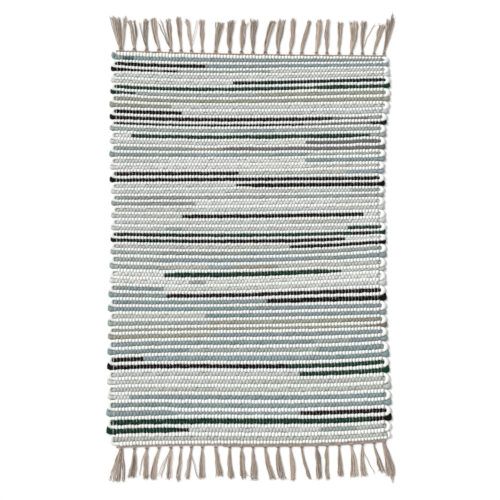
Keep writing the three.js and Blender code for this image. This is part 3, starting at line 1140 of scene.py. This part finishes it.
@dataclass
class Fringe:
    """The warps beyond one end of the field: drawn together, knotted and left loose."""

    end: End
    lie: Lie
    warp_at: np.ndarray
    seed: int = 11
    strip_depth: float = 4.5
    knot_at: float = 7.4
    loose_from: float = 11.5
    yarn_radius: float = 0.74
    rings: int = 24
    sides: int = 4
    plies: int = 2
    base_half: float = 0.85
    base_most: float = 8.0
    pair_room: float = 2.7
    second_from: float = -60.0
    heading: tuple[float, float] = (-287.0, 290.0)
    heading_points: int = 500
    heading_at: float = 0.34
    heading_height: float = 2.6
    cord_radius: float = 1.0
    twine_pitch: float = 7.0
    twine_half: float = 0.85
    pair_phase: float = 1.3
    edge_extra: int = 4
    base_yarns: int = 15
    base_power: float = 3.5
    place_play: float = 0.12
    reach_range: tuple[float, float] = (0.93, 1.01)
    low_range: tuple[float, float] = (1.4, 3.4)
    run_least: float = 0.2
    run_play: float = 0.15
    loose_spread: float = 1.3
    loose_steps: tuple[float, ...] = (0.25, 0.5, 0.75, 0.92, 1.0)
    aside_play: float = 0.7
    lift_play: float = 0.12
    layer_drop: float = 0.3
    tip_share: float = 0.6
    knot_girth: float = 0.86
    knot_yarns: float = 16.0
    knot_most: float = 1.02
    knot_height: float = 2.75
    fluff_each: int = 2
    fluff_turn: float = 0.3
    fluff_length: tuple[float, float] = (2.0, 5.5)
    fluff_back: float = 2.5
    fluff_bend: float = 0.8
    fluff_radius: float = 0.22
    fluff_sides: int = 3
    fluff_rings: int = 4
    fluff_tip: float = 0.3

    def __post_init__(self) -> None:
        """Deals the warps out to the tassels."""
        self.rng = np.random.default_rng(self.seed + self.end.value)
        left, right = (self.lie.edge[side][0 if self.end is End.FAR else -1] for side in (-1, 1))
        at = left + (right - left) * self.warp_at
        extra = self.edge_extra
        self.warps = np.sort(np.repeat(np.concatenate([at, at[:extra], at[-extra:]]), self.plies))
        roots = table_column(TASSELS, "root")
        self.owner = np.argmin(np.abs(self.warps[:, None] - roots), axis=1)

    def yarn_lines(self) -> list[np.ndarray]:
        """The yarns' lines, tassel by tassel."""
        lines: list[np.ndarray] = []
        for number, tassel in enumerate(TASSELS):
            own = self.warps[self.owner == number]
            strays = [stray for stray in STRAYS if stray.root == tassel.root]
            full = (len(own) / self.base_yarns) ** self.base_power
            base = min(self.base_half * full, self.base_most)
            place = (np.arange(len(own)) + 0.5) / len(own)
            place = np.clip(place + self.rng.normal(0, self.place_play, len(own)), 0, 1)
            for i, (warp, at) in enumerate(zip(own, place)):
                tip = tassel.left + (tassel.right - tassel.left) * at
                reach = tassel.reach * self.rng.uniform(*self.reach_range)
                if i < len(strays):
                    tip, reach = strays[i].tip, strays[i].reach
                lines.append(self._line(tassel, warp, tip, reach, i % 2, 2 * at - 1, base))
        return lines

    def _line(
        self,
        tassel: Tassel,
        warp: float,
        tip: float,
        reach: float,
        layer: int,
        out: float,
        base: float,
    ) -> np.ndarray:
        """One yarn from under the last picks to its tip.

        Args:
            tassel: the tassel that it goes to.
            warp: where it leaves the field.
            tip: how far its tip is from the root.
            reach: how far the tip is from the heading line.
            layer: 0 below, 1 above.
            out: its place in the tassel, from -1 to 1.
            base: half the tassel's width at its knot.

        Returns:
            Points in millimetres.
        """
        rng = self.rng
        aside = warp - tassel.root
        line = float(self.lie.end_y(self.end, np.array([tassel.root]))[0])
        own = float(self.lie.end_y(self.end, np.array([warp]))[0])
        low = rng.uniform(*self.low_range)
        run = self.strip_depth * (self.run_least + self.run_play * rng.random())
        spread = self.loose_spread * base * out
        points = [
            (warp, own - 6.0, 3.2),
            (warp - 0.06 * aside, own + 0.7, 2.6),
            (warp - 0.55 * aside, own + run, 1.2 + 1.2 * layer),
            (tassel.root + 0.32 * aside, line + 0.65 * self.strip_depth, 1.5 + 1.5 * layer),
            (tassel.root + base * out, line + self.knot_at, 1.9 + 1.7 * layer),
            (tassel.root + spread, line + self.loose_from, 1.4 + 1.7 * layer),
        ]
        for t in self.loose_steps:
            bend = 4 * t * (1 - t)
            bulge = bend * (tassel.bow + tassel.belly * out)
            x = tassel.root + spread + (tip - spread) * t + bulge
            y = line + self.loose_from + (reach + self.strip_depth - self.loose_from) * t
            x = x + rng.normal(0, self.aside_play)
            z = low + rng.normal(0, self.lift_play) - self.layer_drop * layer * t
            points.append((x, y, z))
        made = np.array(points)
        made[:, 1] *= self.end.value
        return made

    def heading_lines(self) -> list[np.ndarray]:
        """The cords twined along the end of the field: one pair at the far end, two at the near."""
        lines = []
        for pair in range(1 if self.end is End.FAR else 2):
            first = self.heading[0] if pair == 0 else self.second_from
            x = np.linspace(first, self.heading[1], self.heading_points)
            turn = 2 * np.pi * x / self.twine_pitch + self.pair_phase * pair
            line = self.lie.end_y(self.end, x)
            out = line + self.strip_depth * self.heading_at + self.pair_room * pair
            for phase in (0.0, np.pi):
                y = (out + self.twine_half * np.cos(turn + phase)) * self.end.value
                z = self.heading_height + self.twine_half * np.sin(turn + phase)
                lines.append(np.column_stack([x, y, z]))
        return lines

    def knot_points(self) -> bpy.types.Mesh:
        """Where the knots sit and how big each is."""
        roots = table_column(TASSELS, "root")
        y = (self.lie.end_y(self.end, roots) + self.knot_at) * self.end.value
        yarns = np.bincount(self.owner, minlength=len(TASSELS))
        girth = self.knot_girth * np.sqrt(yarns / self.knot_yarns)
        places = np.column_stack([roots, y, np.full(len(roots), self.knot_height)])
        mesh = bpy.data.meshes.new("knot_points")
        mesh.from_pydata(to_world(places).tolist(), [], [])
        high = np.minimum(girth, self.knot_most)
        store(mesh, "girth", "FLOAT_VECTOR", np.column_stack([girth, np.ones(len(roots)), high]))
        return mesh

    def fluff_lines(self, yarns: Sequence[np.ndarray]) -> list[np.ndarray]:
        """The loose fibres at the cut tips.

        Args:
            yarns: the yarns' lines.

        Returns:
            Lines in millimetres.
        """
        lines = []
        for yarn in yarns:
            way = yarn[-1, :2] - yarn[-3, :2]
            way /= np.linalg.norm(way)
            for _ in range(self.fluff_each):
                turn = self.rng.normal(0, self.fluff_turn)
                spin = np.array([[np.cos(turn), -np.sin(turn)], [np.sin(turn), np.cos(turn)]])
                lean = spin @ way
                length = self.rng.uniform(*self.fluff_length)
                start = yarn[-1] - np.append(way * self.fluff_back, 0)
                bend = np.array([-lean[1], lean[0]]) * self.rng.normal(0, self.fluff_bend)
                middle = start[:2] + lean * (self.fluff_back + length * 0.4) + bend * 0.3
                tip = start[:2] + lean * (self.fluff_back + length) + bend
                lines.append(np.array([
                    start,
                    [*middle, max(0.4, start[2] - 0.2)],
                    [*tip, max(0.3, start[2] - 0.5)],
                ]))
        return lines


@dataclass(frozen=True)
class Studio:
    """The pale floor, the soft light and the camera straight above."""

    floor_seen: tuple[int, int, int] = (253, 253, 253)
    height: float = 4.0
    lens: float = 134.4
    key: float = 2.36
    key_spread: float = 0.5
    key_from: tuple[float, float, float] = (-1.0, 0.75, 1.15)
    fill: float = 0.54
    sensor: float = 36.0
    offset: float = -0.00064
    reach: float = 60.0
    floor_half: float = 9.0

    def build(self) -> None:
        """Makes the floor, lights and camera."""
        scene = bpy.context.scene
        scene.view_settings.view_transform = "Standard"
        self._floor()
        world = bpy.data.worlds.new("soft_room")
        world.use_nodes = True
        background = world.node_tree.nodes["Background"].inputs
        background["Color"].default_value = (1, 1, 1, 1)
        background["Strength"].default_value = self.fill
        scene.world = world
        self._key()
        data = bpy.data.cameras.new("above")
        data.lens, data.sensor_width = self.lens, self.sensor
        data.clip_end = self.reach
        camera = bpy.data.objects.new("above", data)
        camera.location = (*(TABLE_SHIFT * MM + [self.offset, 0.0]), self.height)
        scene.collection.objects.link(camera)
        scene.camera = camera

    def _floor(self) -> None:
        """A wide plain floor."""
        mesh = bpy.data.meshes.new("floor")
        half = self.floor_half
        corners = [(-half, -half, 0), (half, -half, 0), (half, half, 0), (-half, half, 0)]
        mesh.from_pydata(corners, [], [(0, 1, 2, 3)])
        material = bpy.data.materials.new("pale_floor")
        material.use_nodes = True
        shader = material.node_tree.nodes["Principled BSDF"]
        shader.inputs["Base Color"].default_value = (*seen_to_linear(self.floor_seen), 1)
        shader.inputs["Roughness"].default_value = 0.9
        shader.inputs["Specular IOR Level"].default_value = 0.1
        add_piece("floor", mesh, material)

    def _key(self) -> None:
        """One broad soft light from the far left."""
        data = bpy.data.lights.new("key", "SUN")
        data.energy, data.angle = self.key, self.key_spread
        light = bpy.data.objects.new("key", data)
        light.location = self.key_from
        light.rotation_mode = "QUATERNION"
        light.rotation_quaternion = light.location.to_track_quat("Z", "Y")
        bpy.context.scene.collection.objects.link(light)


@dataclass
class Rug:
    """The whole rug: field, warps and both fringes, with their finishes."""

    field_seed: int = 7
    half_way: int = len(RAG_PICKS) // 2
    yarn_tones: tuple[float, float] = (0.0, 1.0)
    warp_tones: tuple[float, float] = (0.45, 0.85)
    heading_tones: tuple[float, float] = (0.2, 0.4)
    flat: tuple[float, float] = (0.60, 0.84)

    def __post_init__(self) -> None:
        """Makes the finishes and lays out the cloth."""
        grain = GrainGroup().build()
        self.cotton = COTTON_FINISH.material(grain)
        self.rags = RAG_FINISH.material(grain)
        self.warp = WARP_FINISH.material(grain)
        self.yarn = FRINGE_FINISH.material(grain)
        self.cloth = WovenField(seed=self.field_seed)
        self.pieces: list[bpy.types.Object] = []

    def build(self) -> None:
        middle = self.half_way
        for weft, material in ((Weft.COTTON, self.cotton), (Weft.RAG, self.rags)):
            count = (self.cloth.picks + 1 - weft.value) // 2
            for half, first, last in (("far", 0, middle), ("near", middle, count)):
                name = f"{weft.name.lower()}_weft_{half}"
                mesh = self.cloth.weft_mesh(name, weft, first, last)
                self._keep(add_piece(name, mesh, material), "woven_field")
        yarn_tree, knot_tree = YarnTree(), KnotTree()
        rng = np.random.default_rng(self.field_seed)
        values = {
            yarn_tree.radius: self.cloth.warp_radius * MM,
            yarn_tree.sides: self.cloth.warp_sides,
            yarn_tree.soft: False,
            yarn_tree.tip: 1.0,
            yarn_tree.finish: self.warp,
        }
        lines = line_mesh("warps", self.cloth.warp_lines(), rng, self.warp_tones)
        sheet = add_piece("warps", grow(lines, yarn_tree.tree, values), self.warp)
        self._keep(sheet, "woven_field")
        for end in End:
            self._fringe(Fringe(end, self.cloth.lie, self.cloth.warp_at), yarn_tree, knot_tree, rng)

    def _fringe(
        self, fringe: Fringe, yarns: YarnTree, knots: KnotTree, rng: np.random.Generator
    ) -> None:
        """Builds one fringe: its yarns, heading, loose fibres and knots.

        Args:
            fringe: its layout.
            yarns: the tree for yarn.
            knots: the tree for knots.
            rng: gives the yarns their tones.
        """
        node = f"fringe_{fringe.end.name.lower()}"
        lines = fringe.yarn_lines()
        values = {
            yarns.radius: fringe.yarn_radius * MM,
            yarns.sides: fringe.sides,
            yarns.rings: fringe.rings,
            yarns.soft: True,
            yarns.tip: fringe.tip_share,
            yarns.finish: self.yarn,
        }
        cords = {yarns.radius: fringe.cord_radius * MM, yarns.soft: False, yarns.tip: 1.0}
        fluff = {
            yarns.radius: fringe.fluff_radius * MM,
            yarns.sides: fringe.fluff_sides,
            yarns.rings: fringe.fluff_rings,
            yarns.tip: fringe.fluff_tip,
        }
        parts = (
            ("yarns", lines, self.yarn_tones, {}),
            ("heading", fringe.heading_lines(), self.heading_tones, cords),
            ("fluff", fringe.fluff_lines(lines), self.yarn_tones, fluff),
        )
        for part, own, tones, other in parts:
            made = grow(line_mesh(node, own, rng, tones), yarns.tree, values | other)
            self._keep(add_piece(f"{node}_{part}", made, self.yarn), node)
        made = grow(fringe.knot_points(), knots.tree, {knots.finish: self.yarn})
        self._keep(add_piece(f"{node}_knots", made, self.yarn), node)

    def _keep(self, piece: bpy.types.Object, node: str) -> None:
        """Ties a piece to the frame and reports it.

        Args:
            piece: the piece.
            node: the solid that it stands for.
        """
        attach(piece, "root")
        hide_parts(node)
        self.pieces.append(piece)
        triangles = sum(len(face.vertices) - 2 for face in piece.data.polygons)
        LOG.info("%s: %d triangles, stands for %s", piece.name, triangles, node)


def main() -> None:
    """Builds the studio and the rug."""
    logging.basicConfig(level=logging.INFO, format="%(name)s: %(message)s")
    Studio().build()
    Rug().build()


if __name__ == "__main__":
    main()
